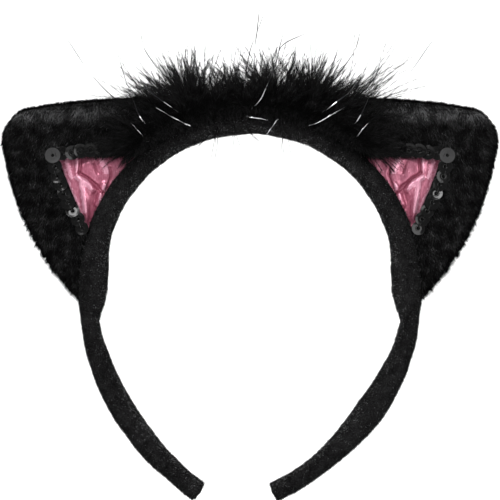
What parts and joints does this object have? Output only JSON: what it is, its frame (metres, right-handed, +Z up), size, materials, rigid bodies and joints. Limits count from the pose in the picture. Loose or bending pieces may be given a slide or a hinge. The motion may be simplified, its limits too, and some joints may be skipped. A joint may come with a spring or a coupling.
{
  "type": "animal ears headband",
  "caption": "Flexible velour-covered headband with plush cat ears, satin ear linings, sequin edging and a fluffy marabou and tinsel crown trim.",
  "frame": {"origin": "centre of the crown arc, midway through the band's width", "axes": "+Z up through the middle of the crown, +X towards the viewer's right, -Y the front that shows the satin"},
  "size_m": [0.187, 0.026, 0.1904],
  "materials": {
    "core_plastic": "matte",
    "white_wadding": "fluffy",
    "band_velour": "short crushed pile",
    "ear_plush": "brushed plush pile",
    "ear_foam": "open-cell foam",
    "pink_satin": "satin",
    "black_sequin": "mirror gloss",
    "black_thread": "matte",
    "black_cord": "matte",
    "marabou_down": "fluffy",
    "silver_tinsel": "bright"
  },
  "bodies": {
    "crown": {"band_core_crown": "core_plastic", "band_padding_crown": "white_wadding", "band_sleeve_crown": "band_velour", "sleeve_seam_stitches_crown": "black_thread", "marabou_cord": "black_cord", "marabou_plumes": "marabou_down", "marabou_tie_stitches": "black_thread", "tinsel_strands": "silver_tinsel"},
    "left_side": {"band_core_left": "core_plastic", "band_padding_left": "white_wadding", "band_sleeve_left": "band_velour", "sleeve_seam_stitches_left": "black_thread", "left_ear_base_strip": "ear_plush", "left_ear_tack_stitches": "black_thread"},
    "right_side": {"band_core_right": "core_plastic", "band_padding_right": "white_wadding", "band_sleeve_right": "band_velour", "sleeve_seam_stitches_right": "black_thread", "right_ear_base_strip": "ear_plush", "right_ear_tack_stitches": "black_thread"},
    "left_ear": {"left_ear_back_panel": "ear_plush", "left_ear_foam_insert": "ear_foam", "left_ear_satin_lining": "pink_satin", "left_ear_front_border": "ear_plush", "left_ear_sequins": "black_sequin", "left_ear_sequin_thread": "black_thread"},
    "right_ear": {"right_ear_back_panel": "ear_plush", "right_ear_foam_insert": "ear_foam", "right_ear_satin_lining": "pink_satin", "right_ear_front_border": "ear_plush", "right_ear_sequins": "black_sequin", "right_ear_sequin_thread": "black_thread"}
  },
  "joints": [
    {"name": "left_side_flex", "type": "hinge", "parent": "crown", "child": "left_side", "pos_m": [-0.02285, 0, 0.05656], "axis": [0, 1, 0], "range_deg": [-3, 20], "stiffness_Nm_per_rad": 0.5},
    {"name": "left_ear_tilt", "type": "hinge", "parent": "left_side", "child": "left_ear", "pos_m": [-0.05545, 0, 0.02948], "axis": [0.4695, 0, 0.8829], "range_deg": [-20, 20], "stiffness_Nm_per_rad": 0.05},
    {"name": "right_side_flex", "type": "hinge", "parent": "crown", "child": "right_side", "pos_m": [0.02285, 0, 0.05656], "axis": [0, -1, 0], "range_deg": [-3, 20], "stiffness_Nm_per_rad": 0.5},
    {"name": "right_ear_tilt", "type": "hinge", "parent": "right_side", "child": "right_ear", "pos_m": [0.05545, 0, 0.02948], "axis": [0.4695, 0, -0.8829], "range_deg": [-20, 20], "stiffness_Nm_per_rad": 0.05}
  ]
}
